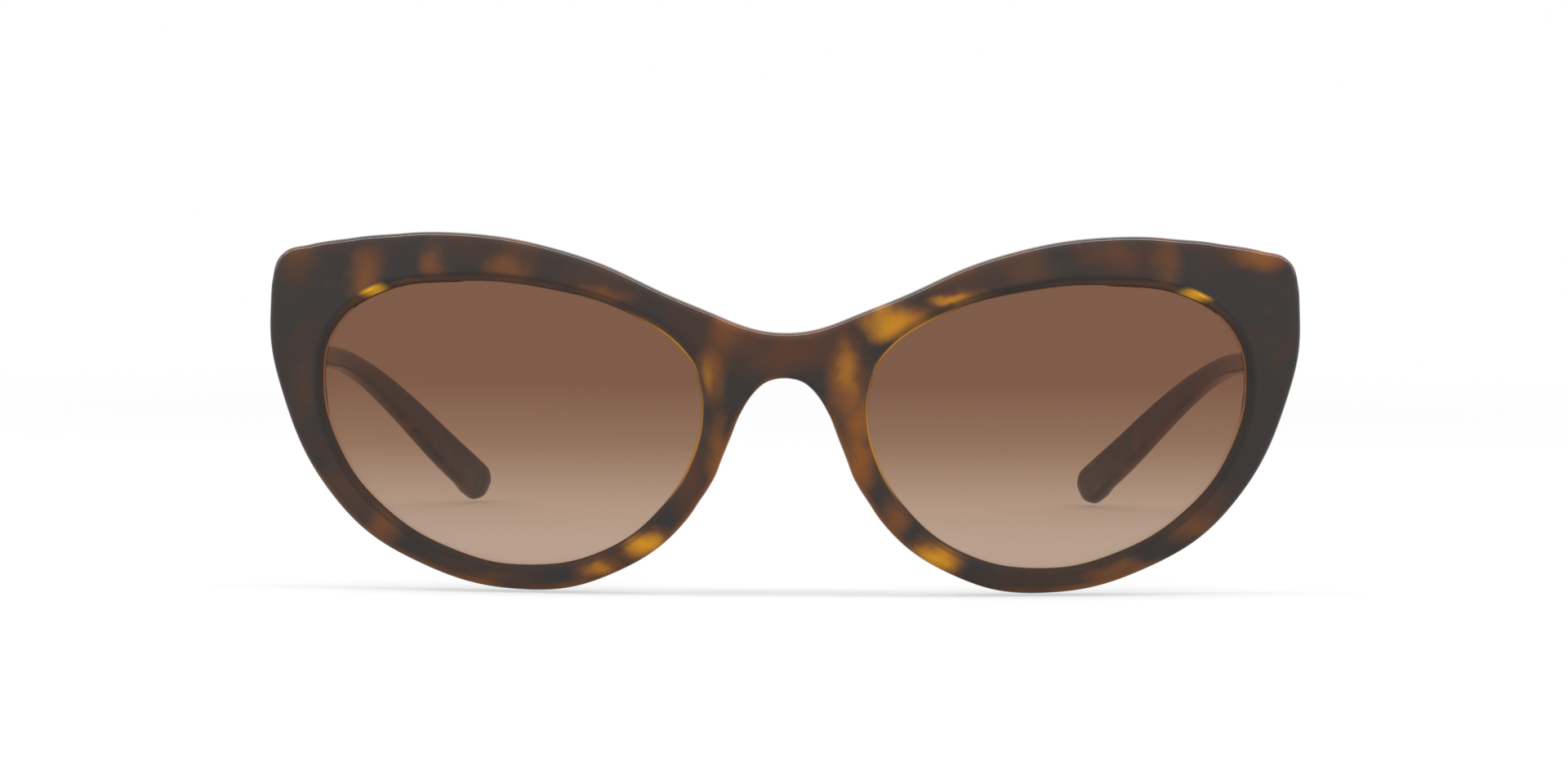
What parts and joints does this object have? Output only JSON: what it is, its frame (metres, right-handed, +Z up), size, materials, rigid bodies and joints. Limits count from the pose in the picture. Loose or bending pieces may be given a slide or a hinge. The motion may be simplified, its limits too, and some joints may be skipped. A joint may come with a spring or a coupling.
{
  "type": "sunglasses",
  "caption": "Cat eye sunglasses with raised outer corners, gradient lenses, built-up nose pads and two slim temples that fold on barrel hinges.",
  "frame": {"origin": "middle of the bounding box, on the plane that the rims and the temple tips stand on", "axes": "+Z up, the front faces -Y, the temples run towards +Y, the wearer's left is +X"},
  "size_m": [0.1392, 0.1382, 0.0479],
  "materials": {
    "front_tortoise": "polished tortoise",
    "pad_tortoise": "polished tortoise",
    "temple_tortoise": "polished tortoise",
    "brown_gradient_lens": "polished, brown gradient tint",
    "hinge_metal": "satin",
    "screw_metal": "bright",
    "core_wire": "drawn wire"
  },
  "bodies": {
    "front": {"front_frame": "front_tortoise", "lens_left": "brown_gradient_lens", "lens_right": "brown_gradient_lens", "nose_pad_left": "pad_tortoise", "nose_pad_right": "pad_tortoise", "hinge_front_leaf_left": "hinge_metal", "hinge_front_leaf_right": "hinge_metal", "hinge_screw_left": "screw_metal", "hinge_screw_right": "screw_metal"},
    "left_temple": {"temple_left": "temple_tortoise", "temple_core_left": "core_wire", "hinge_temple_leaf_left": "hinge_metal"},
    "right_temple": {"temple_right": "temple_tortoise", "temple_core_right": "core_wire", "hinge_temple_leaf_right": "hinge_metal"}
  },
  "joints": [
    {"name": "left_temple_fold", "type": "hinge", "parent": "front", "child": "left_temple", "pos_m": [0.064, -0.05393, 0.03135], "axis": [0, 0, 1], "range_deg": [0, 82]},
    {"name": "right_temple_fold", "type": "hinge", "parent": "front", "child": "right_temple", "pos_m": [-0.064, -0.05393, 0.03135], "axis": [0, 0, -1], "range_deg": [0, 75]}
  ]
}
